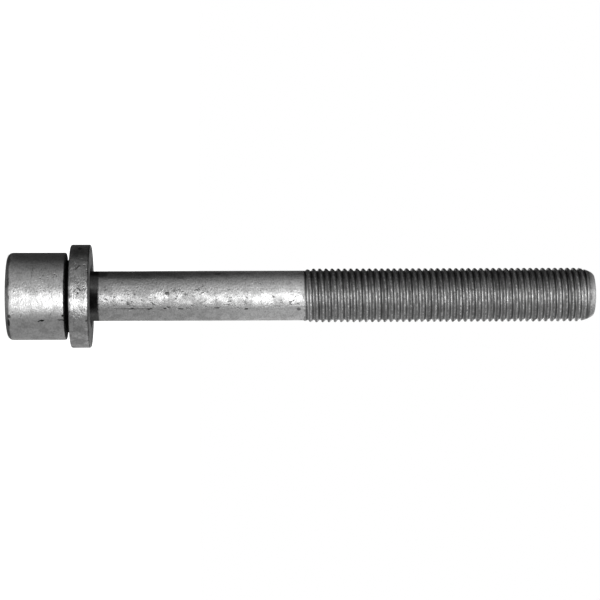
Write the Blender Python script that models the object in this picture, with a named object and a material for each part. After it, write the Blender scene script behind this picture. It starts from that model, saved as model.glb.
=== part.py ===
"""Cylinder head bolt with its loose plate washer, standing upright on its head.

The bolt is one cold-forged piece of steel with a rolled right-hand thread.
The washer is a second, hardened piece that lies on the collar under the head.
The frame's origin is the middle of the head's drive face, and +Z runs to the tip.
"""
import math

import bmesh
import bpy

MM = 0.001

# Head: a plain cylinder, rounded at its drive face
HEAD_DIAMETER = 17.5
HEAD_HEIGHT = 11.7
HEAD_EDGE_RADIUS = 1.1
HEAD_LOWER_EDGE = 0.25

# Collar: the raised bearing face under the head, and the fillet into the shank
COLLAR_STEP = 1.5
COLLAR_HEIGHT = 0.6
SHANK_FILLET = 0.6

# Drive socket: a plain hexagon with a pointed floor and a chamfered mouth
SOCKET_ACROSS_FLATS = 10.0
SOCKET_DEPTH = 6.0
SOCKET_POINT_ANGLE = 120.0
SOCKET_MOUTH_CHAMFER = 0.35

# Shank and thread: M11 x 1.25, with the shank rolled down below the thread
THREAD_DIAMETER = 11.0
THREAD_PITCH = 1.25
THREAD_LENGTH = 58.5
SHANK_RELIEF = 1.0
GRIP_LENGTH = 47.5
RUNOUT_LENGTH = 2.0

# Share of a turn by which the first root groove starts after the +X side
THREAD_START_TURN = 0.51

# Shares of the pitch that the metric thread's basic section is made of
THREAD_DEPTH_SHARE = 0.61343
CREST_FLAT_SHARE = 0.125
FLANK_ANGLE = 30.0

# Tip: a small flat face and a rounded shoulder
TIP_FACE_DIAMETER = 7.4
TIP_LENGTH = 4.2

# Washer: a thick ring that slides over the thread
WASHER_BORE_CLEARANCE = 1.0
WASHER_RING_WIDTH = 4.35
WASHER_THICKNESS = 4.0
WASHER_HEAD_SIDE_EDGE = 0.4
WASHER_TIP_SIDE_EDGE = 0.3
WASHER_BORE_CHAMFER = 0.4
WASHER_SEAT_GAP = 0.3

# How finely the round surfaces are faceted
ROUND_SEGMENTS = 36
THREAD_SEGMENTS = 18
WASHER_SEGMENTS = 48
ARC_STEPS = 5

# Lengths and radii that follow from the sizes above
head_radius = HEAD_DIAMETER / 2
collar_radius = head_radius - COLLAR_STEP
collar_top = HEAD_HEIGHT + COLLAR_HEIGHT
thread_radius = THREAD_DIAMETER / 2
shank_radius = thread_radius - SHANK_RELIEF / 2
root_radius = thread_radius - THREAD_DEPTH_SHARE * THREAD_PITCH
thread_start = HEAD_HEIGHT + GRIP_LENGTH
tip_height = thread_start + THREAD_LENGTH
shoulder_height = tip_height - TIP_LENGTH
tip_face_radius = TIP_FACE_DIAMETER / 2
washer_bore_radius = thread_radius + WASHER_BORE_CLEARANCE / 2
washer_bottom = collar_top + WASHER_SEAT_GAP


def clear_scene():
    """Remove whatever the opened scene holds."""
    for item in list(bpy.data.objects):
        bpy.data.objects.remove(item, do_unlink=True)


def steel(name, colour, roughness):
    """A Principled steel with one grey value and one roughness."""
    material = bpy.data.materials.new(name)
    material.use_nodes = True
    shader = material.node_tree.nodes["Principled BSDF"]
    shader.inputs["Base Color"].default_value = (colour, colour, colour, 1.0)
    shader.inputs["Metallic"].default_value = 1.0
    shader.inputs["Roughness"].default_value = roughness
    return material


def make_object(name, shape, material=None):
    """Turn a finished bmesh, drawn in millimetres, into a named object in metres."""
    bmesh.ops.scale(shape, vec=(MM, MM, MM), verts=shape.verts)
    bmesh.ops.recalc_face_normals(shape, faces=shape.faces)
    mesh = bpy.data.meshes.new(name)
    shape.to_mesh(mesh)
    shape.free()
    mesh.shade_smooth()
    mesh.set_sharp_from_angle(angle=math.radians(28))
    item = bpy.data.objects.new(name, mesh)
    bpy.context.collection.objects.link(item)
    if material:
        mesh.materials.append(material)
    return item


def arc(centre_r, centre_z, radius, start, end, steps=ARC_STEPS):
    """Profile points on a circular arc; angles in degrees from +R towards +Z."""
    points = []
    for step in range(steps + 1):
        angle = math.radians(start + (end - start) * step / steps)
        points.append((centre_r + radius * math.cos(angle), centre_z + radius * math.sin(angle)))
    return points


def add_ring(shape, radius, height, segments):
    """A ring of vertices about the Z axis."""
    ring = []
    for index in range(segments):
        angle = 2 * math.pi * index / segments
        ring.append(shape.verts.new((radius * math.cos(angle), radius * math.sin(angle), height)))
    return ring


def join_rings(shape, lower, upper):
    """A band of quads between two rings that have the same number of vertices."""
    count = len(lower)
    for index in range(count):
        after = (index + 1) % count
        shape.faces.new((lower[index], lower[after], upper[after], upper[index]))


def join_fine_to_coarse(shape, fine, coarse):
    """A band of triangles from a ring to one with half as many vertices."""
    count = len(coarse)
    for index in range(count):
        after = (index + 1) % count
        first = fine[2 * index]
        middle = fine[2 * index + 1]
        last = fine[(2 * index + 2) % len(fine)]
        shape.faces.new((first, middle, coarse[index]))
        shape.faces.new((middle, coarse[after], coarse[index]))
        shape.faces.new((middle, last, coarse[after]))


def head_and_shank_profile():
    """Radius and height from the drive face's edge, over head and collar, along the shank."""
    points = arc(head_radius - HEAD_EDGE_RADIUS, HEAD_EDGE_RADIUS, HEAD_EDGE_RADIUS, -90, 0)
    points.append((head_radius, HEAD_HEIGHT - HEAD_LOWER_EDGE))
    points.append((head_radius - HEAD_LOWER_EDGE, HEAD_HEIGHT))
    points.append((collar_radius, HEAD_HEIGHT))
    points.append((collar_radius, collar_top))
    fillet_centre = shank_radius + SHANK_FILLET
    points += arc(fillet_centre, collar_top + SHANK_FILLET, SHANK_FILLET, 270, 180)
    points.append((shank_radius, thread_start - THREAD_PITCH))
    return points


def runout_share(height):
    """How fully the thread is formed: 0 on the plain shank, 1 past the runout."""
    share = (height - thread_start) / RUNOUT_LENGTH
    return min(max(share, 0.0), 1.0) ** 0.5


def shoulder_radius(height):
    """The largest radius that the rounded shoulder of the tip leaves at a height."""
    share = min(max((height - shoulder_height) / TIP_LENGTH, 0.0), 1.0)
    drop = thread_radius - tip_face_radius
    return thread_radius - drop * (1 - math.sqrt(1 - share ** 2))


def thread_vertex_radius(height, on_crest):
    """Radius of the thread's crest or root, with its runout and the tip's shoulder."""
    full_radius = thread_radius if on_crest else root_radius
    formed = shank_radius + (full_radius - shank_radius) * runout_share(height)
    return min(formed, shoulder_radius(height))


def thread_section():
    """Axial places within one pitch, and whether each is on the crest: root, root, crest, crest."""
    crest = CREST_FLAT_SHARE
    flank = THREAD_DEPTH_SHARE * math.tan(math.radians(FLANK_ANGLE))
    root = 1 - crest - 2 * flank
    return ((0.0, False), (root, False), (root + flank, True), (root + flank + crest, True))


def add_thread(shape):
    """Wind the section up the bolt; rows that run past either end close up on its end ring."""
    section = thread_section()
    turns_before = 2
    turns = math.ceil(THREAD_LENGTH / THREAD_PITCH) + 2 * turns_before
    rows = []
    for turn in range(turns):
        for place, on_crest in section:
            row = []
            for index in range(THREAD_SEGMENTS):
                share = index / THREAD_SEGMENTS
                turned = turn - turns_before + place + share + THREAD_START_TURN
                wound = thread_start + turned * THREAD_PITCH
                height = min(max(wound, thread_start), tip_height)
                radius = thread_vertex_radius(height, on_crest)
                angle = 2 * math.pi * share
                place_xy = (radius * math.cos(angle), radius * math.sin(angle))
                row.append(shape.verts.new((*place_xy, height)))
            rows.append(row)
    per_turn = len(section)
    for number in range(len(rows) - per_turn - 1):
        lower = rows[number] + [rows[number + per_turn][0]]
        upper = rows[number + 1] + [rows[number + 1 + per_turn][0]]
        for index in range(THREAD_SEGMENTS):
            shape.faces.new((lower[index], lower[index + 1], upper[index + 1], upper[index]))
    return rows[0], rows[-1]


def hexagon_cutter():
    """The socket's hexagon, from outside the drive face to the point of its floor."""
    corner_radius = SOCKET_ACROSS_FLATS / 2 / math.cos(math.radians(30))
    point_depth = corner_radius / math.tan(math.radians(SOCKET_POINT_ANGLE / 2))
    shape = bmesh.new()
    mouth = add_ring(shape, corner_radius, -HEAD_EDGE_RADIUS, 6)
    floor = add_ring(shape, corner_radius, SOCKET_DEPTH, 6)
    point = shape.verts.new((0, 0, SOCKET_DEPTH + point_depth))
    shape.faces.new(mouth)
    join_rings(shape, mouth, floor)
    for index in range(6):
        shape.faces.new((floor[index], floor[(index + 1) % 6], point))
    return make_object("socket_hexagon_cutter", shape)


def chamfer_cutter():
    """A 90 degree cone that breaks the hexagon's corners at the mouth."""
    corner_radius = SOCKET_ACROSS_FLATS / 2 / math.cos(math.radians(30))
    mouth_radius = corner_radius + SOCKET_MOUTH_CHAMFER
    shape = bmesh.new()
    outer = add_ring(shape, mouth_radius + HEAD_EDGE_RADIUS, -HEAD_EDGE_RADIUS, ROUND_SEGMENTS)
    point = shape.verts.new((0, 0, mouth_radius))
    shape.faces.new(outer)
    for index in range(ROUND_SEGMENTS):
        shape.faces.new((outer[index], outer[(index + 1) % ROUND_SEGMENTS], point))
    return make_object("socket_chamfer_cutter", shape)


def cut(piece, cutter):
    """Take a cutter away from a piece, and keep the cutter as a wire guide."""
    cutter.hide_render = True
    cutter.display_type = "WIRE"
    modifier = piece.modifiers.new(cutter.name, "BOOLEAN")
    modifier.operation = "DIFFERENCE"
    modifier.solver = "EXACT"
    modifier.object = cutter


def make_bolt():
    """Head, collar, shank, thread and tip in one solid, with the drive socket cut out."""
    shape = bmesh.new()
    rings = [add_ring(shape, r, z, ROUND_SEGMENTS) for r, z in head_and_shank_profile()]
    shape.faces.new(rings[0])
    for lower, upper in zip(rings, rings[1:]):
        join_rings(shape, lower, upper)
    thread_foot, thread_end = add_thread(shape)
    join_fine_to_coarse(shape, rings[-1], thread_foot)
    shape.faces.new(thread_end)
    bmesh.ops.remove_doubles(shape, verts=shape.verts, dist=0.0001)
    bolt = make_object("bolt", shape, steel("worn bright steel", 0.36, 0.42))
    cut(bolt, hexagon_cutter())
    cut(bolt, chamfer_cutter())
    return bolt


def washer_profile():
    """Closed section of the washer: bore, lower face, rim and upper face."""
    bore = washer_bore_radius
    rim = bore + WASHER_RING_WIDTH
    top = washer_bottom + WASHER_THICKNESS
    chamfer = WASHER_BORE_CHAMFER
    points = [(bore, top - chamfer), (bore, washer_bottom + chamfer), (bore + chamfer, washer_bottom)]
    lower = WASHER_HEAD_SIDE_EDGE
    upper = WASHER_TIP_SIDE_EDGE
    points += arc(rim - lower, washer_bottom + lower, lower, -90, 0)
    points += arc(rim - upper, top - upper, upper, 0, 90, 2)
    points.append((bore + chamfer, top))
    return points


def make_washer():
    """The loose ring, flat on the collar and centred on the shank."""
    shape = bmesh.new()
    rings = [add_ring(shape, r, z, WASHER_SEGMENTS) for r, z in washer_profile()]
    for lower, upper in zip(rings, rings[1:] + rings[:1]):
        join_rings(shape, lower, upper)
    return make_object("washer", shape, steel("hardened washer steel", 0.34, 0.45))


clear_scene()
make_bolt()
make_washer()
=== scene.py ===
"""Looks of a cylinder head bolt and its loose washer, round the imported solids."""
import math

import bmesh
import bpy
from mathutils import Matrix, Vector


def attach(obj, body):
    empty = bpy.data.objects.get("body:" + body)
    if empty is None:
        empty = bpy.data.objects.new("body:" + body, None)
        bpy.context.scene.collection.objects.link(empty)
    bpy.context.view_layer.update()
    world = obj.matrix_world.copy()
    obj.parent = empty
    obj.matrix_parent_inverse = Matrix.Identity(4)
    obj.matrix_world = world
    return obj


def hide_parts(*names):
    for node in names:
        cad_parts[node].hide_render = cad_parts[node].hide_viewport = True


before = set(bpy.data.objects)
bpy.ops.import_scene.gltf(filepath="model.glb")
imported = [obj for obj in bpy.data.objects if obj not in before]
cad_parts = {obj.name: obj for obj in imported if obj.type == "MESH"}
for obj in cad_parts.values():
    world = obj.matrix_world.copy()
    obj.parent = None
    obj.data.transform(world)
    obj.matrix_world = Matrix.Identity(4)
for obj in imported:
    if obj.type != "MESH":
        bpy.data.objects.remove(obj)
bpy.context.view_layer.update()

MM = 0.001


# Camera: a long lens, level with the bolt and turned on its side, so that the upright bolt
# lies across the picture with its head to the left. It aims a little past square, at the tip.
# Lengths are in millimetres here and below.
LENS = 135.6
SENSOR = 36.0
CAMERA_DISTANCE = 454.5
CAMERA_HEIGHT = 43.8
CAMERA_OFFSET = 0.91
AIM_TOWARDS_TIP = math.radians(1.85)
ROLL = math.radians(0.2)
NEAREST_SEEN = 10
FARTHEST_SEEN = 20000

camera = bpy.data.objects.new("camera", bpy.data.cameras.new("camera"))
bpy.context.collection.objects.link(camera)
camera.data.lens = LENS
camera.data.sensor_width = SENSOR
camera.data.clip_start = NEAREST_SEEN * MM
camera.data.clip_end = FARTHEST_SEEN * MM
camera.location = Vector((CAMERA_OFFSET, -CAMERA_DISTANCE, CAMERA_HEIGHT)) * MM
view_line = Vector((0, math.cos(AIM_TOWARDS_TIP), math.sin(AIM_TOWARDS_TIP)))
picture_right = Vector((0, -math.sin(AIM_TOWARDS_TIP), math.cos(AIM_TOWARDS_TIP)))
picture_up = Vector((-1, 0, 0))
rolled_right = picture_right * math.cos(ROLL) - picture_up * math.sin(ROLL)
rolled_up = picture_up * math.cos(ROLL) + picture_right * math.sin(ROLL)
turned_camera = Matrix((rolled_right, rolled_up, -view_line)).transposed()
camera.rotation_mode = "QUATERNION"
camera.rotation_quaternion = turned_camera.to_quaternion()
bpy.context.scene.camera = camera
bpy.context.scene.view_settings.view_transform = "Standard"


# Studio: a room whose walls are bright in front, grey on the side that the picture shows below and
# dark on the other, a floor of pale paper under the head, and three soft boxes. The camera sees the
# background white, and metal sees it white straight behind the bolt and on some of the floor.
def add_node(tree, kind, inputs=None, **settings):
    """Add a node with its settings; an input given a node or a socket is linked, else it is set.

    Inputs are numbered as Blender does: a map range has its value at 0, then from low, from high,
    to low and to high; a noise has the place at 0, its scale at 2, then detail and roughness; a mix
    has its factor at 0, and its two sides at 2 and 3 as levels or at 6 and 7 as colours."""
    item = tree.nodes.new(kind)
    for key, value in settings.items():
        setattr(item, key, value)
    for key, value in (inputs or {}).items():
        if isinstance(value, bpy.types.Node):
            value = value.outputs[0]
        if isinstance(value, bpy.types.NodeSocket):
            tree.links.new(value, item.inputs[key])
        else:
            item.inputs[key].default_value = value
    return item


def set_levels(ramp, stops, low, high):
    """Give a ramp node its grey levels, at places between low and high."""
    elements = ramp.color_ramp.elements
    while len(elements) < len(stops):
        elements.new(1.0)
    for element, (place, level) in zip(elements, stops):
        element.position = (place - low) / (high - low)
        element.color = (level, level, level, 1)


def round_the_bolt(tree, place, stops):
    """A level for each azimuth in degrees: 0 in front of the bolt, 90 on its +X side."""
    sides = add_node(tree, "ShaderNodeSeparateXYZ", {0: place})
    front = add_node(tree, "ShaderNodeMath", {0: sides.outputs["Y"], 1: -1.0}, operation="MULTIPLY")
    turned = add_node(tree, "ShaderNodeMath", {0: sides.outputs["X"], 1: front}, operation="ARCTAN2")
    share = add_node(tree, "ShaderNodeMapRange", {0: turned, 1: -math.pi, 2: math.pi})
    ramp = add_node(tree, "ShaderNodeValToRGB", {0: share})
    ramp.color_ramp.interpolation = "EASE"
    set_levels(ramp, stops, -180, 180)
    return ramp


def seen_white(tree, in_metal):
    """1 for the camera, straight or through glass, and for metal the share that is given."""
    rays = add_node(tree, "ShaderNodeLightPath")
    seen = {0: rays.outputs["Is Camera Ray"], 1: rays.outputs["Is Transmission Ray"]}
    direct = add_node(tree, "ShaderNodeMath", seen, operation="MAXIMUM")
    reflected = {0: rays.outputs["Is Glossy Ray"], 1: in_metal}
    mirrored = add_node(tree, "ShaderNodeMath", reflected, operation="MULTIPLY")
    return add_node(tree, "ShaderNodeMath", {0: direct, 1: mirrored}, operation="MAXIMUM")


# The room's walls have a brightness for each azimuth, and a share of it for each height, from
# straight down at -1 to straight up at 1. Straight behind the bolt is the white background.
ROOM_WALLS = ((-180, 0.6), (-165, 0.4), (-148, 0.05), (-120, 0.02), (-95, 0.08), (-74, 0.27),
              (-50, 0.65), (-27, 0.9), (-10, 1.0), (25, 0.95), (45, 0.38), (75, 0.38), (130, 0.54),
              (165, 0.62), (180, 0.6))
ROOM_HEIGHTS = ((-1, 0), (0, 1), (0.3, 0.9), (0.5, 0.5), (1, 0.5))
BACKDROP_HALF_ANGLE = math.radians(7)

world = bpy.data.worlds.new("studio room")
bpy.context.scene.world = world
world.use_nodes = True
tree = world.node_tree
tree.nodes.clear()
place = add_node(tree, "ShaderNodeTexCoord").outputs["Generated"]
walls = round_the_bolt(tree, place, ROOM_WALLS)
sides = add_node(tree, "ShaderNodeSeparateXYZ", {0: place})
height = add_node(tree, "ShaderNodeMapRange", {0: sides.outputs["Z"], 1: -1.0, 2: 1.0})
heights = add_node(tree, "ShaderNodeValToRGB", {0: height})
set_levels(heights, ROOM_HEIGHTS, -1, 1)
room = add_node(tree, "ShaderNodeMath", {0: walls, 1: heights}, operation="MULTIPLY")
backdrop_edge = math.cos(BACKDROP_HALF_ANGLE)
behind = add_node(tree, "ShaderNodeMath", {0: sides.outputs["Y"], 1: backdrop_edge},
                  operation="GREATER_THAN")
white = seen_white(tree, behind)
level = add_node(tree, "ShaderNodeMix", {0: white, 2: room, 3: 1.0})
glow = add_node(tree, "ShaderNodeBackground", {0: (1, 1, 1, 1), 1: level})
add_node(tree, "ShaderNodeOutputWorld", {0: glow})

# The floor is pale paper, lifted to white for the camera. Metal sees a share of that white for each
# azimuth, and none of it close to the head: it sets in across GLOW_FROM, counted from the axis.
FLOOR_HALF = 3000
FLOOR_LIFT = 0.86
FLOOR_TONE = (0.8, 0.8, 0.8, 1)
FLOOR_IN_METAL = (0.11, 0.11, 0.11, 1)
GLOW_FROM = (7.7, 9.0)
WHITE_IN_METAL = ((-180, 1), (-172, 1), (-165, 0), (-100, 0), (-70, 0.13), (-40, 0.34), (-16, 0.52),
                  (-5, 1), (25, 1), (42, 0.5), (65, 0.4), (140, 0.4), (165, 0.2), (172, 1), (180, 1))

shape = bmesh.new()
bmesh.ops.create_grid(shape, x_segments=1, y_segments=1, size=FLOOR_HALF * MM)
floor_mesh = bpy.data.meshes.new("floor")
shape.to_mesh(floor_mesh)
shape.free()
floor = bpy.data.objects.new("floor", floor_mesh)
bpy.context.collection.objects.link(floor)
paper = bpy.data.materials.new("pale paper floor")
paper.use_nodes = True
tree = paper.node_tree
tree.nodes.clear()
place = add_node(tree, "ShaderNodeTexCoord").outputs["Object"]
share = round_the_bolt(tree, place, WHITE_IN_METAL)
away = add_node(tree, "ShaderNodeVectorMath", {0: place}, operation="LENGTH").outputs["Value"]
clear = add_node(tree, "ShaderNodeMapRange", {0: away, 1: GLOW_FROM[0] * MM, 2: GLOW_FROM[1] * MM})
open_floor = add_node(tree, "ShaderNodeMath", {0: share, 1: clear}, operation="MULTIPLY")
white = seen_white(tree, open_floor)
lift = add_node(tree, "ShaderNodeMath", {0: white, 1: FLOOR_LIFT}, operation="MULTIPLY")
glow = add_node(tree, "ShaderNodeEmission", {0: (1, 1, 1, 1), 1: lift})
in_metal = add_node(tree, "ShaderNodeLightPath").outputs["Is Glossy Ray"]
tone = add_node(tree, "ShaderNodeMix", {0: in_metal, 6: FLOOR_TONE, 7: FLOOR_IN_METAL}, data_type="RGBA")
matt = add_node(tree, "ShaderNodeBsdfDiffuse", {"Color": tone.outputs[2]})
both = add_node(tree, "ShaderNodeAddShader", {0: matt, 1: glow})
add_node(tree, "ShaderNodeOutputMaterial", {0: both})
floor_mesh.materials.append(paper)

# The low soft box makes the broad band of light along the bolt, the high one the glints on the
# thread, and the rear one lights the side away from the camera.
SOFT_BOX_DISTANCE = 800
SOFT_BOX_AIM = 60


def soft_box(name, azimuth, elevation, width, height, radiance):
    """A rectangle of light, turned to the bolt; angles in degrees."""
    turned = math.radians(azimuth)
    raised = math.radians(elevation)
    light = bpy.data.lights.new(name, "AREA")
    light.shape = "RECTANGLE"
    light.size = width * MM
    light.size_y = height * MM
    light.energy = radiance * math.pi * light.size * light.size_y
    box = bpy.data.objects.new(name, light)
    bpy.context.collection.objects.link(box)
    level_reach = math.cos(raised)
    towards = Vector((math.sin(turned) * level_reach, -math.cos(turned) * level_reach, math.sin(raised)))
    box.location = (towards * SOFT_BOX_DISTANCE + Vector((0, 0, SOFT_BOX_AIM))) * MM
    box.rotation_euler = (math.pi / 2 - raised, 0, turned)
    box.visible_camera = False


soft_box("low soft box", azimuth=11, elevation=4, width=620, height=230, radiance=4.4)
soft_box("high soft box", azimuth=10, elevation=58, width=900, height=320, radiance=2.0)
soft_box("rear soft box", azimuth=175, elevation=20, width=420, height=420, radiance=2.4)


# Bolt: one piece of alloy steel, cold-forged with its head and socket, then rolled to form the
# shank and the thread, and tumbled. It stands on its head, and heights are from its drive face.
HEAD_RADIUS = 8.75
HEAD_HEIGHT = 11.7
HEAD_EDGE = 1.1
HEAD_LOWER_EDGE = 0.25
COLLAR_RADIUS = 7.25
COLLAR_TOP = 12.3
SHANK_RADIUS = 5.0
SHANK_FILLET = 0.6
SOCKET_HALF = 5.0
SOCKET_DEPTH = 6.0
SOCKET_POINT = 3.33
SOCKET_MOUTH = 6.12
SOCKET_FLOOR_RINGS = (0.02, 0.35, 0.7, 1.0)
SEGMENTS = 96
BODY_ROW = 0.6
SHARP_EDGE = math.radians(32)

# The thread is M11 x 1.25, right-hand, with rounded crests and roots. A root lies ROOT_SHIFT nearer
# the tip than half way between its crests, and THREAD_START_TURN turns the whole helix.
THREAD_RADIUS = 5.5
PITCH = 1.25
THREAD_START = 59.2
THREAD_START_TURN = 0.096
FLANK_LEAN = math.radians(30)
CREST_RADIUS = 5.42
CREST_ROUND = 0.32
ROOT_ROUND = 0.28
ROOT_SHIFT = 0.07
ARC_STEPS = [math.radians(degrees) for degrees in (-60, -30, 0, 30, 60)]
RUNOUT = 2.0
RUNOUT_CURVE = 0.5
TIP_HEIGHT = 117.7
TIP_LENGTH = 4.2
TIP_FACE_RADIUS = 4.0
TIP_FULLNESS = 1.6
SPARE_TURNS = 2
WELD = 0.0001


def arc_points(centre_r, centre_z, radius, start, end, steps):
    """Profile points on an arc; angles in degrees from outwards towards the tip."""
    points = []
    for step in range(steps + 1):
        angle = math.radians(start + (end - start) * step / steps)
        points.append((centre_r + radius * math.cos(angle), centre_z + radius * math.sin(angle)))
    return points


def straight_points(radius, low, high):
    """Profile points up a straight side, without its two ends."""
    count = max(2, round((high - low) / BODY_ROW))
    return [(radius, low + (high - low) * i / count) for i in range(1, count)]


def ring(shape, points):
    """Vertices from points in millimetres."""
    return [shape.verts.new((x * MM, y * MM, z * MM)) for x, y, z in points]


def band(shape, lower, upper):
    """Quads between two closed rings."""
    count = len(lower)
    for i in range(count):
        j = (i + 1) % count
        shape.faces.new((lower[i], lower[j], upper[j], upper[i]))


def circle(radius, height, segments=SEGMENTS):
    """Points round the axis."""
    turns = [2 * math.pi * i / segments for i in range(segments)]
    return [(radius * math.cos(a), radius * math.sin(a), height) for a in turns]


def make_piece(name, shape):
    """Turn a finished bmesh into a smooth object with its sharp edges kept."""
    bmesh.ops.recalc_face_normals(shape, faces=shape.faces)
    mesh = bpy.data.meshes.new(name)
    shape.to_mesh(mesh)
    shape.free()
    mesh.shade_smooth()
    mesh.set_sharp_from_angle(angle=SHARP_EDGE)
    piece = bpy.data.objects.new(name, mesh)
    bpy.context.collection.objects.link(piece)
    return piece


def socket_rings():
    """From the point of the socket's floor out to the drive face's edge."""
    turns = [2 * math.pi * i / SEGMENTS for i in range(SEGMENTS)]
    from_flat = [math.pi / 6 - abs((a + math.pi / 6) % (math.pi / 3) - math.pi / 6) for a in turns]
    walls = [SOCKET_HALF / math.cos(a) for a in from_flat]
    sides = list(zip(turns, walls))
    rings = []
    for share in SOCKET_FLOOR_RINGS:
        height = SOCKET_DEPTH + SOCKET_POINT * (1 - share)
        rings.append([(w * share * math.cos(a), w * share * math.sin(a), height) for a, w in sides])
    rings.append([(w * math.cos(a), w * math.sin(a), SOCKET_MOUTH - w) for a, w in sides])
    rings.append(circle(SOCKET_MOUTH, 0))
    return rings


def blank_profile():
    """Head, collar, fillet and shank, from the drive face's edge to the thread."""
    lower_edge = HEAD_HEIGHT - HEAD_LOWER_EDGE
    fillet_top = COLLAR_TOP + SHANK_FILLET
    points = arc_points(HEAD_RADIUS - HEAD_EDGE, HEAD_EDGE, HEAD_EDGE, -90, 0, steps=8)
    points += straight_points(HEAD_RADIUS, HEAD_EDGE, lower_edge)
    points += arc_points(HEAD_RADIUS - HEAD_LOWER_EDGE, lower_edge, HEAD_LOWER_EDGE, 0, 90, steps=3)
    points += [(COLLAR_RADIUS, HEAD_HEIGHT), (COLLAR_RADIUS, COLLAR_TOP)]
    points += arc_points(SHANK_RADIUS + SHANK_FILLET, fillet_top, SHANK_FILLET, 270, 180, steps=5)
    points += straight_points(SHANK_RADIUS, fillet_top, THREAD_START)
    return points


def thread_section():
    """Place within one pitch and radius of each row, from one crest to the next."""
    crest_centre = CREST_RADIUS - CREST_ROUND
    point = crest_centre + CREST_ROUND / math.sin(FLANK_LEAN)
    valley = point - PITCH / 2 / math.tan(FLANK_LEAN)
    root_centre = valley + ROOT_ROUND / math.sin(FLANK_LEAN)
    root_place = PITCH / 2 + ROOT_SHIFT
    middle = (point + valley) / 2
    crest = [(CREST_ROUND * math.sin(a), crest_centre + CREST_ROUND * math.cos(a)) for a in ARC_STEPS]
    root = [(root_place + ROOT_ROUND * math.sin(a), root_centre - ROOT_ROUND * math.cos(a))
            for a in ARC_STEPS]
    falling = (PITCH / 4 + ROOT_SHIFT / 2, middle)
    rising = (PITCH * 3 / 4 + ROOT_SHIFT / 2, middle)
    return crest + [falling] + root + [rising]


def formed_radius(radius, height):
    """The thread's radius where it runs out at the shank and is rounded off at the tip."""
    share = min(max((height - THREAD_START) / RUNOUT, 0.0), 1.0) ** RUNOUT_CURVE
    radius = SHANK_RADIUS + (radius - SHANK_RADIUS) * share
    over = min(max((height - TIP_HEIGHT + TIP_LENGTH) / TIP_LENGTH, 0.0), 1.0)
    drop = 1 - (1 - over ** TIP_FULLNESS) ** (1 / TIP_FULLNESS)
    limit = THREAD_RADIUS - (THREAD_RADIUS - TIP_FACE_RADIUS) * drop
    return min(radius, limit)


shape = bmesh.new()
socket = [ring(shape, points) for points in socket_rings()]
shape.faces.new(list(reversed(socket[0])))
for lower, upper in zip(socket, socket[1:]):
    band(shape, lower, upper)
body = [ring(shape, circle(r, z)) for r, z in blank_profile()]
band(shape, socket[-1], body[0])
for lower, upper in zip(body, body[1:]):
    band(shape, lower, upper)

# Each row climbs by one pitch a turn, so its end meets the start of the row one turn further on.
# The spare turns at both ends are pressed flat onto the shank's end and onto the tip's face.
rows = []
section = thread_section()
last_turn = math.ceil((TIP_HEIGHT - THREAD_START) / PITCH) + SPARE_TURNS
for turn_number in range(-SPARE_TURNS, last_turn):
    for offset, radius in section:
        row = []
        for i in range(SEGMENTS):
            share = i / SEGMENTS
            height = THREAD_START + offset + (turn_number + share + THREAD_START_TURN) * PITCH
            height = min(max(height, THREAD_START), TIP_HEIGHT)
            r = formed_radius(radius, height)
            row.append((r * math.cos(2 * math.pi * share), r * math.sin(2 * math.pi * share), height))
        rows.append(ring(shape, row))
per_turn = len(section)
for n in range(len(rows) - per_turn - 1):
    lower = rows[n] + [rows[n + per_turn][0]]
    upper = rows[n + 1] + [rows[n + 1 + per_turn][0]]
    for i in range(SEGMENTS):
        shape.faces.new((lower[i], lower[i + 1], upper[i + 1], upper[i]))
band(shape, body[-1], rows[0])
shape.faces.new(rows[-1])
bmesh.ops.remove_doubles(shape, verts=shape.verts, dist=WELD * MM)
bolt = make_piece("forged_bolt", shape)


def linear(code):
    """A material's sRGB hex colour as linear light."""
    parts = [int(code[i:i + 2], 16) / 255 for i in (1, 3, 5)]
    return (*[p / 12.92 if p <= 0.04045 else ((p + 0.055) / 1.055) ** 2.4 for p in parts], 1)


def per_mm(size):
    """Scale of a noise or cell texture whose cells are this many millimetres across."""
    return 1 / (size * MM)


# What tumbling and handling leave on steel. Stains and lumps are about 2 mm across. The grain of
# tumbling is about 0.1 mm and is drawn three to five times coarser, so that it shows. Flecks of
# oxide lie along the bolt: they start where the noise passes FLECKS_FEW or, where they are many,
# FLECKS_MANY, and darken over FLECK_FADE to FLECK_LEVEL. The outline of a mark wavers by RAGGED,
# and MARK_DEPTH is half its thickness, enough for the curve of the surface that it lies on.
STAIN_WIDTH = 2.0
LUMP_WIDTH = 2.2
GRAIN_SQUEEZE = (1.0, 1.0, 1.6)
FLECK_WIDTH = 0.5
FLECK_STRETCH = (1.0, 1.0, 0.6)
FLECKS_FEW = 0.72
FLECKS_MANY = 0.46
FLECK_FADE = 0.13
FLECK_LEVEL = 0.3
WAVER_WIDTH = 0.45
RAGGED = 0.35
MARK_DEPTH = 1.2
# Pieces with no painted shade by height and no painted light and shade by azimuth use these.
NO_PAINTED_SHADE = ((0, 1), (118, 1))
NO_PAINTED_LIGHT = ((-180, 1), (180, 1))


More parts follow.
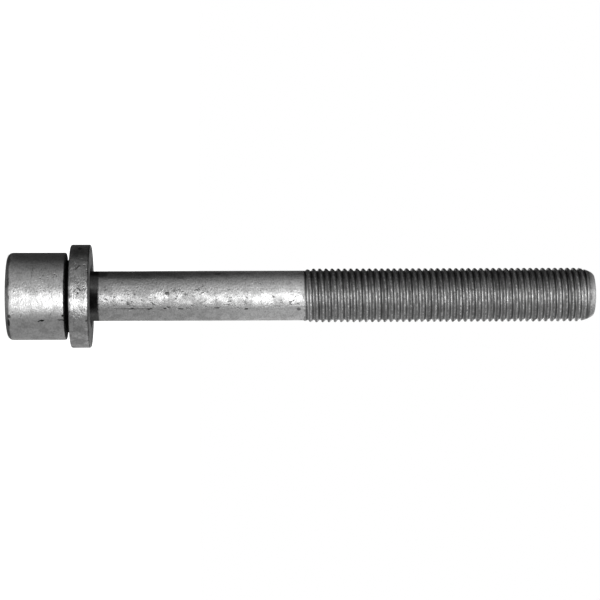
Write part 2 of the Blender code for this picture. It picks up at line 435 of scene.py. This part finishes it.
def worn_steel(name, radius, light, dark, roughness, grain, relief, lumps, painted_shade_by_height, painted_light_by_azimuth, flecks_and_painted_shade, marks):
    """Steel that was tumbled and handled: cloudy stains, a fine grain that runs round the bolt,
    shallow lumps and small dark flecks, under painted light and shade.

    Radius is the surface's, for its marks. Light and dark are the colours of unstained and of
    stained steel, and roughness is that of its smoothest and its dullest spots. Grain is how wide
    the grain is, and relief and lumps how high grain and lumps are. Then come a level of painted
    shade for each height, a level of painted light and shade for each azimuth, and how many flecks
    there are at each azimuth, which is partly painted shade where they are many. A mark is its
    height, azimuth, half width, half length, tilt in degrees and level. The node that darkens the
    colour is named shade, so that more painted light and shade can be added to it."""
    material = bpy.data.materials.new(name)
    material.use_nodes = True
    tree = material.node_tree
    shader = tree.nodes["Principled BSDF"]
    shader.inputs["Metallic"].default_value = 1.0
    place = add_node(tree, "ShaderNodeTexCoord").outputs["Object"]
    across = add_node(tree, "ShaderNodeVectorMath", {0: place, 1: GRAIN_SQUEEZE}, operation="MULTIPLY")
    clouds = add_node(tree, "ShaderNodeTexNoise", {0: place, 2: per_mm(STAIN_WIDTH), 3: 4.0, 4: 0.62})
    swell = add_node(tree, "ShaderNodeTexNoise", {0: place, 2: per_mm(LUMP_WIDTH), 3: 2.0, 4: 0.5})
    grains = add_node(tree, "ShaderNodeTexNoise", {0: across, 2: per_mm(grain), 3: 1.5, 4: 0.6})

    stain = add_node(tree, "ShaderNodeMapRange", {0: clouds, 1: 0.36, 2: 0.62},
                     interpolation_type="SMOOTHSTEP")
    colours = {0: stain, 6: linear(dark), 7: linear(light)}
    colour = add_node(tree, "ShaderNodeMix", colours, data_type="RGBA")
    shade = add_node(tree, "ShaderNodeMapRange", {0: grains, 1: 0.34, 2: 0.56, 3: 0.78, 4: 1.0})

    # Flecks of oxide, in patches that go with the lumps; thickest at some azimuths, as partly painted
    # shade.
    along = add_node(tree, "ShaderNodeVectorMath", {0: place, 1: FLECK_STRETCH}, operation="MULTIPLY")
    oxide = add_node(tree, "ShaderNodeTexNoise", {0: along, 2: per_mm(FLECK_WIDTH), 3: 2.5, 4: 0.6})
    many = round_the_bolt(tree, place, flecks_and_painted_shade)
    patchy = add_node(tree, "ShaderNodeMapRange", {0: swell, 1: 0.35, 2: 0.65, 3: 0.35, 4: 1.0})
    here = add_node(tree, "ShaderNodeMath", {0: many, 1: patchy}, operation="MULTIPLY")
    limit = add_node(tree, "ShaderNodeMapRange", {0: here, 3: FLECKS_FEW, 4: FLECKS_MANY})
    above = add_node(tree, "ShaderNodeMath", {0: oxide, 1: limit}, operation="SUBTRACT")
    flecks = add_node(tree, "ShaderNodeMapRange", {0: above, 1: 0.0, 2: FLECK_FADE})
    flecked_shade = add_node(tree, "ShaderNodeMapRange", {0: flecks, 3: 1.0, 4: FLECK_LEVEL})
    shade = add_node(tree, "ShaderNodeMath", {0: shade, 1: flecked_shade}, operation="MULTIPLY")

    # Marks, each a flattened ball with a wavering outline.
    waver = add_node(tree, "ShaderNodeTexNoise", {0: place, 2: per_mm(WAVER_WIDTH), 3: 2.0})
    either_way = add_node(tree, "ShaderNodeVectorMath", {0: waver.outputs["Color"], 1: (0.5,) * 3},
                          operation="SUBTRACT")
    ragged = add_node(tree, "ShaderNodeVectorMath", {0: either_way, 1: (RAGGED * MM,) * 3, 2: place},
                      operation="MULTIPLY_ADD")
    for height, azimuth, half_width, half_length, tilt, level in marks:
        turned = math.radians(azimuth)
        centre = Vector((radius * math.sin(turned), -radius * math.cos(turned), height)) * MM
        reach = Vector((half_width, MARK_DEPTH, half_length)) * MM
        turn = (0, math.radians(tilt), turned)
        local = add_node(tree, "ShaderNodeMapping",
                         {0: ragged, "Location": centre, "Rotation": turn, "Scale": reach},
                         vector_type="TEXTURE")
        away = add_node(tree, "ShaderNodeVectorMath", {0: local}, operation="LENGTH").outputs["Value"]
        faded = add_node(tree, "ShaderNodeMapRange", {0: away, 1: 0.8, 2: 1.2, 3: level, 4: 1.0})
        shade = add_node(tree, "ShaderNodeMath", {0: shade, 1: faded}, operation="MULTIPLY")

    # Painted shade by height, and painted light and shade by azimuth.
    height = add_node(tree, "ShaderNodeSeparateXYZ", {0: ragged}).outputs["Z"]
    share = add_node(tree, "ShaderNodeMapRange", {0: height, 1: painted_shade_by_height[0][0] * MM, 2: painted_shade_by_height[-1][0] * MM})
    painted_height_shade = add_node(tree, "ShaderNodeValToRGB", {0: share})
    set_levels(painted_height_shade, painted_shade_by_height, painted_shade_by_height[0][0], painted_shade_by_height[-1][0])
    shade = add_node(tree, "ShaderNodeMath", {0: shade, 1: painted_height_shade}, operation="MULTIPLY")
    painted_azimuth_light = round_the_bolt(tree, place, painted_light_by_azimuth)
    shade = add_node(tree, "ShaderNodeMath", {0: shade, 1: painted_azimuth_light}, operation="MULTIPLY")
    dimmed = add_node(tree, "ShaderNodeVectorMath", {0: colour.outputs[2], 3: shade},
                      operation="SCALE", name="shade")

    # Stained spots, and spots under painted shade, are duller; grain, lumps and flecks break up the
    # sheen.
    smoothest, dullest = roughness
    rough = add_node(tree, "ShaderNodeMapRange", {0: clouds, 1: 0.35, 2: 0.65, 3: dullest, 4: smoothest})
    duller_in_painted_shade = add_node(tree, "ShaderNodeMapRange", {0: painted_height_shade, 1: 0.1, 2: 0.5, 3: 0.4, 4: 0.0})
    rough = add_node(tree, "ShaderNodeMath", {0: rough, 1: duller_in_painted_shade}, operation="ADD")
    fine = add_node(tree, "ShaderNodeMath", {0: grains, 1: flecks}, operation="SUBTRACT")
    lumpy = add_node(tree, "ShaderNodeBump", {"Strength": 1.0, "Distance": lumps * MM, "Height": swell})
    bump = add_node(tree, "ShaderNodeBump",
                    {"Strength": 1.0, "Distance": relief * MM, "Height": fine, "Normal": lumpy})
    tree.links.new(dimmed.outputs[0], shader.inputs["Base Color"])
    tree.links.new(rough.outputs[0], shader.inputs["Roughness"])
    tree.links.new(bump.outputs[0], shader.inputs["Normal"])
    return material


# The head: tumbled to a soft grey sheen, with painted light and shade in strips round it, its rounded
# edge dull and darkened with painted shade, an old lap of the forging as a thin dark line, and a few
# black nicks. Its flecks are thickest where the edges of the sheen fall, as partly painted shade. The
# slit under it and the collar are painted black as shade.
HEAD_PAINTED_SHADE = ((0, 0.8), (0.25, 0.7), (0.5, 0.3), (0.7, 0.35), (0.95, 1), (11.5, 1), (11.68, 0.2),
             (11.75, 0.015), (14, 0.015))
HEAD_PAINTED_LIGHT = ((-180, 0.9), (-58, 0.72), (-45, 1.0), (-26, 1.05), (-8, 0.86), (4, 1.03), (20, 0.97),
              (30, 0.8), (47, 0.84), (62, 0.87), (80, 1.0), (180, 0.9))
HEAD_FLECKS_AND_SHADE = ((-180, 0.4), (-70, 0.2), (-40, 0.35), (-22, 0.65), (-8, 0.6), (-2, 0.2), (10, 0.25),
               (18, 0.5), (32, 0.45), (45, 0.2), (180, 0.4))
HEAD_MARKS = ((5.35, -31, 2.0, 0.1, 5, 0.6), (7.1, 33.5, 0.18, 0.75, -12, 0.05),
              (11.35, 26, 0.26, 0.2, 0, 0.05), (11.1, 32.5, 0.14, 0.75, 5, 0.1),
              (9.0, 24, 0.45, 0.08, 20, 0.5), (0.75, 37, 0.9, 0.26, 0, 0.2),
              (0.9, 27, 0.35, 0.3, 0, 0.25), (0.85, 2, 0.5, 0.14, 0, 0.35),
              (0.75, -20, 1.0, 0.14, 0, 0.5), (0.8, -54, 0.9, 0.3, 0, 0.6))
head_steel = worn_steel(
    "tumbled alloy steel", HEAD_RADIUS, light="#D8D8D8", dark="#C0C0C0", roughness=(0.32, 0.45),
    grain=0.5, relief=0.05, lumps=0.05, painted_shade_by_height=HEAD_PAINTED_SHADE, painted_light_by_azimuth=HEAD_PAINTED_LIGHT, flecks_and_painted_shade=HEAD_FLECKS_AND_SHADE,
    marks=HEAD_MARKS)

# The shank: rolled down and duller, its surface uneven, so that its sheen breaks up. Round it, its
# levels are painted light and shade in strips, darker in front, and small pits lie along one side. Its
# flecks are thickest where the edges of the sheen fall, as partly painted shade. Next to the washer it
# is painted black as the washer's shadow, which is lifted to a dim grey at some azimuths as painted
# light, and beyond that it is darker towards the head.
SHANK_PAINTED_SHADE = ((12, 0.02), (18.05, 0.02), (18.4, 0.66), (30, 0.7), (42, 0.82), (50, 0.98), (59.3, 1))
SHANK_PAINTED_LIGHT = ((-180, 0.85), (-72, 0.88), (-60, 0.84), (-50, 0.93), (-41, 1), (-30, 0.97),
               (-20, 0.92), (-12, 0.78), (3, 0.84), (11, 0.78), (17, 0.74), (27, 0.76), (33, 0.82),
               (38, 0.96), (44, 1), (90, 1), (180, 0.85))
SHANK_FLECKS_AND_SHADE = ((-180, 0.5), (-60, 0.35), (-30, 0.45), (-10, 0.6), (0, 0.62), (30, 0.65), (36, 0.25),
                (60, 0.2), (180, 0.5))
# The two long marks along the top side, at -62, and the one beside the washer, at -64, are painted
# shade.
SHANK_MARKS = ((31.9, -6, 0.36, 0.48, 0, 0.2), (24.9, 13, 0.22, 0.22, 0, 0.4),
               (24.9, 30, 0.2, 0.36, 10, 0.35), (28.4, 31, 0.14, 0.5, -8, 0.3),
               (31.4, 30, 0.16, 0.28, 0, 0.15), (34.6, 31, 0.18, 0.5, 0, 0.4),
               (41.8, 29, 0.2, 0.6, 6, 0.4), (47.6, 32, 0.2, 0.4, -6, 0.25),
               (58.1, 33, 0.4, 0.4, 0, 0.4), (35.5, 0, 0.7, 0.6, 0, 0.65),
               (33.4, -14, 0.4, 0.4, 0, 0.7), (25.3, 30.5, 0.14, 4.0, 1, 0.6),
               (34.6, -46, 0.3, 0.9, 0, 0.7), (26.3, -46, 0.3, 0.5, 0, 0.75),
               (41.9, -61, 0.4, 0.8, 0, 0.7), (24.0, -62, 1.8, 9.0, 0, 0.78),
               (29.0, -62, 1.75, 16.0, 0, 0.72), (18.6, -64, 1.3, 1.5, 0, 0.5))
PAINTED_LIGHT_IN_SHADOW = ((-180, 0.02), (-60, 0.02), (-46, 0.1), (-32, 0.16), (-22, 0.25), (-12, 0.11),
               (-3, 0.03), (6, 0.01), (25, 0.02), (36, 0.08), (48, 0.19), (65, 0.16), (90, 0.08),
               (180, 0.02))
shank_steel = worn_steel(
    "rolled and oxidised shank steel", SHANK_RADIUS, light="#FAFAFA", dark="#E2E2E2",
    roughness=(0.36, 0.58), grain=0.45, relief=0.08, lumps=0.07, painted_shade_by_height=SHANK_PAINTED_SHADE, painted_light_by_azimuth=SHANK_PAINTED_LIGHT,
    flecks_and_painted_shade=SHANK_FLECKS_AND_SHADE, marks=SHANK_MARKS)
# Inside the painted shadow next to the washer, a dim level for each azimuth is painted light.
tree = shank_steel.node_tree
place = add_node(tree, "ShaderNodeTexCoord").outputs["Object"]
shade = tree.nodes["shade"].inputs["Scale"]
shadow_lift = round_the_bolt(tree, place, PAINTED_LIGHT_IN_SHADOW)
least = add_node(tree, "ShaderNodeMath", {0: shade.links[0].from_socket, 1: shadow_lift}, operation="MAXIMUM")
tree.links.new(least.outputs[0], shade)

# The rolled thread: bright steel whose colour has a level for each place in one pitch, from crest to
# crest, and these levels paint light and shade: a painted highlight at the foot of the flank towards
# the head, and painted shade in the root. They are darker on the side seen on top and lighter on the
# side below, as painted shade and light, differ from turn to turn, and change near the tip as painted
# light and shade there too. The steel is duller on the crests and flanks than in the root, and duller
# at the tip. Bright and dark spots along the crests are painted glints.
THREAD_FLECKS = ((-180, 0.2), (180, 0.2))
PAINTED_PITCH_FRONT = ((0.0, 0.22), (0.07, 0.6), (0.15, 0.6), (0.23, 0.45), (0.29, 0.29), (0.35, 0.15),
                 (0.42, 0.13), (0.49, 0.11), (0.55, 0.16), (0.61, 0.8), (0.66, 1), (0.75, 1),
                 (0.8, 0.75), (0.85, 0.27), (0.9, 0.12), (0.94, 0.12), (1.0, 0.24))
PAINTED_PITCH_TOP = ((0.0, 0.4), (0.06, 0.4), (0.16, 0.31), (0.22, 0.22), (0.34, 0.15), (0.42, 0.12),
               (0.47, 0.07), (0.54, 0.07), (0.6, 0.16), (0.66, 0.31), (0.72, 0.56), (0.78, 0.65),
               (0.84, 0.5), (0.9, 0.33), (1.0, 0.4))
PAINTED_PITCH_BELOW = ((0.0, 0.6), (0.06, 0.8), (0.13, 0.8), (0.22, 0.52), (0.28, 0.45), (0.34, 0.32),
              (0.42, 0.27), (0.48, 0.2), (0.56, 0.3), (0.62, 0.75), (0.68, 0.85), (0.77, 0.8),
              (0.83, 0.55), (0.88, 0.38), (0.93, 0.38), (1.0, 0.6))
TOP_SIDE_SHARE = ((-180, 0), (-120, 1), (-52, 1), (-27, 0.5), (0, 0), (180, 0))
BELOW_SIDE_SHARE = ((-180, 0), (5, 0), (27, 0.4), (50, 1), (110, 1), (180, 0))
PITCH_DULLNESS = ((0.0, 0.3), (0.1, 0.25), (0.2, 0.2), (0.45, 0.2), (0.53, 0), (0.72, 0), (0.85, 0.25),
                 (1.0, 0.3))
TURN_TO_TURN = (0.7, 1.15)
END_PAINTED_LIGHT = ((115.9, 0.45), (116.2, 0.28), (116.5, 0.36), (116.8, 0.85), (117.1, 1), (117.7, 1))
END_DULLNESS = 0.34
CREST_DOTS = ((0, 0.8), (0.05, 1), (0.14, 1), (0.22, 0), (0.9, 0), (1, 0.8))
DOT_WIDTH = 0.5
DOT_LEVELS = (0.65, 1.25)
thread_steel = worn_steel(
    "rolled and oiled thread steel", THREAD_RADIUS, light="#FCFCFC", dark="#E0E0E0",
    roughness=(0.25, 0.33), grain=0.32, relief=0.05, lumps=0.02, painted_shade_by_height=NO_PAINTED_SHADE, painted_light_by_azimuth=NO_PAINTED_LIGHT,
    flecks_and_painted_shade=THREAD_FLECKS, marks=())
tree = thread_steel.node_tree
place = add_node(tree, "ShaderNodeTexCoord").outputs["Object"]

# Place within one pitch: the height climbed in pitches, less the turn that the azimuth makes.
axes = add_node(tree, "ShaderNodeSeparateXYZ", {0: place})
height = axes.outputs["Z"]
angle = add_node(tree, "ShaderNodeMath", {0: axes.outputs["Y"], 1: axes.outputs["X"]},
                 operation="ARCTAN2")
turns = add_node(tree, "ShaderNodeMath", {0: angle, 1: 1 / (2 * math.pi)}, operation="MULTIPLY")
climbed = add_node(tree, "ShaderNodeMath", {0: height, 1: THREAD_START * MM}, operation="SUBTRACT")
pitches = add_node(tree, "ShaderNodeMath", {0: climbed, 1: per_mm(PITCH)}, operation="MULTIPLY")
wound = add_node(tree, "ShaderNodeMath", {0: pitches, 1: turns}, operation="SUBTRACT")
offset = add_node(tree, "ShaderNodeMath", {0: wound, 1: THREAD_START_TURN}, operation="SUBTRACT")
phase = add_node(tree, "ShaderNodeMath", {0: offset, 1: 1.0}, operation="FLOORED_MODULO")

# Painted light and shade for each place in the pitch, mixed from the front to the top and lower sides.
painted_pitch = add_node(tree, "ShaderNodeValToRGB", {0: phase})
set_levels(painted_pitch, PAINTED_PITCH_FRONT, 0, 1)
for levels, side in ((PAINTED_PITCH_TOP, TOP_SIDE_SHARE), (PAINTED_PITCH_BELOW, BELOW_SIDE_SHARE)):
    share = round_the_bolt(tree, place, side)
    other_painted_pitch = add_node(tree, "ShaderNodeValToRGB", {0: phase})
    set_levels(other_painted_pitch, levels, 0, 1)
    painted_pitch = add_node(tree, "ShaderNodeMix", {0: share, 2: painted_pitch, 3: other_painted_pitch})
end_low, end_next, end_high = END_PAINTED_LIGHT[0][0], END_PAINTED_LIGHT[1][0], END_PAINTED_LIGHT[-1][0]
at_end = add_node(tree, "ShaderNodeMapRange", {0: height, 1: end_low * MM, 2: end_next * MM})
share = add_node(tree, "ShaderNodeMapRange", {0: height, 1: end_low * MM, 2: end_high * MM})
end_painted_light = add_node(tree, "ShaderNodeValToRGB", {0: share})
set_levels(end_painted_light, END_PAINTED_LIGHT, end_low, end_high)
painted_pitch = add_node(tree, "ShaderNodeMix", {0: at_end, 2: painted_pitch, 3: end_painted_light})

shade = tree.nodes["shade"].inputs["Scale"]
light_and_shade_painted = add_node(tree, "ShaderNodeMath", {0: shade.links[0].from_socket, 1: painted_pitch}, operation="MULTIPLY")
by_turn = add_node(tree, "ShaderNodeTexNoise", {"W": wound, "Scale": 1.3, "Detail": 0.0},
                   noise_dimensions="1D")
uneven = add_node(tree, "ShaderNodeMapRange",
                  {0: by_turn, 1: 0.3, 2: 0.7, 3: TURN_TO_TURN[0], 4: TURN_TO_TURN[1]})
light_and_shade_painted = add_node(tree, "ShaderNodeMath", {0: light_and_shade_painted, 1: uneven}, operation="MULTIPLY")
# Bright and dark spots along the crests, painted glints.
crests = add_node(tree, "ShaderNodeValToRGB", {0: phase})
set_levels(crests, CREST_DOTS, 0, 1)
glint_noise = add_node(tree, "ShaderNodeTexNoise", {0: place, 2: per_mm(DOT_WIDTH), 3: 1.0})
dots = add_node(tree, "ShaderNodeMapRange",
                {0: glint_noise, 1: 0.42, 2: 0.62, 3: DOT_LEVELS[0], 4: DOT_LEVELS[1]})
dotted = add_node(tree, "ShaderNodeMix", {0: crests, 2: 1.0, 3: dots})
light_and_shade_painted = add_node(tree, "ShaderNodeMath", {0: light_and_shade_painted, 1: dotted}, operation="MULTIPLY")
tree.links.new(light_and_shade_painted.outputs[0], shade)

pitch_dullness = add_node(tree, "ShaderNodeValToRGB", {0: phase})
set_levels(pitch_dullness, PITCH_DULLNESS, 0, 1)
dull = add_node(tree, "ShaderNodeMix", {0: at_end, 2: pitch_dullness, 3: END_DULLNESS})
roughness = tree.nodes["Principled BSDF"].inputs["Roughness"]
rough = add_node(tree, "ShaderNodeMath", {0: roughness.links[0].from_socket, 1: dull}, operation="ADD")
tree.links.new(rough.outputs[0], roughness)

steels = [head_steel, shank_steel, thread_steel]
for steel in steels:
    bolt.data.materials.append(steel)
for face in bolt.data.polygons:
    if face.center.z > THREAD_START * MM:
        face.material_index = steels.index(thread_steel)
    elif face.center.z > COLLAR_TOP * MM:
        face.material_index = steels.index(shank_steel)
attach(bolt, "root")
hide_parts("bolt")


# Washer: a thick ring, turned from bar, hardened and tumbled. It lies loose on the collar, with
# a little air between them.
WASHER_RADIUS = 10.35
WASHER_LOW = 12.6
WASHER_TOP = 16.6
BORE_RADIUS = 6.0
BORE_CHAMFER = 0.4
HEAD_SIDE_EDGE = 0.4
TIP_SIDE_EDGE = 0.3
WASHER_SEGMENTS = 144

chamfer_radius = BORE_RADIUS + BORE_CHAMFER
low_edge = WASHER_LOW + HEAD_SIDE_EDGE
top_edge = WASHER_TOP - TIP_SIDE_EDGE
profile = [(BORE_RADIUS, WASHER_TOP - BORE_CHAMFER), (BORE_RADIUS, WASHER_LOW + BORE_CHAMFER),
           (chamfer_radius, WASHER_LOW)]
profile += arc_points(WASHER_RADIUS - HEAD_SIDE_EDGE, low_edge, HEAD_SIDE_EDGE, -90, 0, steps=6)
profile += straight_points(WASHER_RADIUS, low_edge, top_edge)
profile += arc_points(WASHER_RADIUS - TIP_SIDE_EDGE, top_edge, TIP_SIDE_EDGE, 0, 90, steps=5)
profile += [(chamfer_radius, WASHER_TOP)]
shape = bmesh.new()
rings = [ring(shape, circle(r, z, WASHER_SEGMENTS)) for r, z in profile]
for lower, upper in zip(rings, rings[1:] + rings[:1]):
    band(shape, lower, upper)
washer = make_piece("turned_washer", shape)

# Its rim: hardened steel, mottled by tumbling, with flecks, a scratch and two large stains. Both its
# edges are darkened with painted shade, in the slit towards the head and round the edge towards the
# tip, its levels round the rim are painted light and shade, and its flecks are thickest where the
# edges of the sheen fall, as partly painted shade.
WASHER_PAINTED_SHADE = ((12.5, 0.1), (12.65, 0.3), (12.75, 1), (16.25, 1), (16.35, 0.3), (16.8, 0.3))
WASHER_PAINTED_LIGHT = ((-180, 0.9), (-48, 0.8), (-37, 0.93), (-23, 0.76), (-8, 1.12), (6, 1.1), (17, 0.82),
                (27, 0.7), (40, 1.05), (60, 1.2), (80, 1.0), (180, 0.9))
WASHER_FLECKS_AND_SHADE = ((-180, 0.5), (-60, 0.35), (-36, 0.5), (-28, 0.8), (-8, 1), (2, 1), (5, 0), (10, 0.1),
                 (20, 0.5), (32, 0.5), (40, 0.25), (180, 0.5))
WASHER_MARKS = ((14.4, -33, 0.7, 0.12, 40, 0.3), (14.6, -66, 0.6, 0.35, 0, 0.3),
                (16.1, 28, 0.2, 0.2, 0, 0.2), (14.6, -3, 1.1, 3.0, 0, 0.55),
                (14.2, -60, 2.5, 1.6, 0, 0.8))
washer_steel = worn_steel(
    "hardened and tumbled washer steel", WASHER_RADIUS, light="#D0D0D0", dark="#A4A4A4",
    roughness=(0.27, 0.36), grain=0.5, relief=0.07, lumps=0.05, painted_shade_by_height=WASHER_PAINTED_SHADE, painted_light_by_azimuth=WASHER_PAINTED_LIGHT,
    flecks_and_painted_shade=WASHER_FLECKS_AND_SHADE, marks=WASHER_MARKS)

# Its bearing face and bore: dull, and darkened with painted shade for the face turned away from the
# light and the bore in shadow. At a grazing angle a metal mirrors almost all the light whatever its
# colour, so Specular Tint darkens that reflection, which is painted shade too.
FACE_FLECKS = ((-180, 0.3), (180, 0.3))
FACE_UPWARDS = 0.98
shaded_face_steel = worn_steel(
    "bearing face steel with painted shade", WASHER_RADIUS, light="#A0A0A0", dark="#888888",
    roughness=(0.6, 0.75), grain=0.5, relief=0.05, lumps=0.03, painted_shade_by_height=NO_PAINTED_SHADE, painted_light_by_azimuth=NO_PAINTED_LIGHT,
    flecks_and_painted_shade=FACE_FLECKS, marks=())
shaded_face_steel.node_tree.nodes["Principled BSDF"].inputs["Specular Tint"].default_value = linear("#787878")
steels = [washer_steel, shaded_face_steel]
for steel in steels:
    washer.data.materials.append(steel)
for face in washer.data.polygons:
    in_bore = math.hypot(*face.center[:2]) < chamfer_radius * MM
    if in_bore or face.normal.z > FACE_UPWARDS:
        face.material_index = steels.index(shaded_face_steel)
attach(washer, "root")
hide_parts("washer")
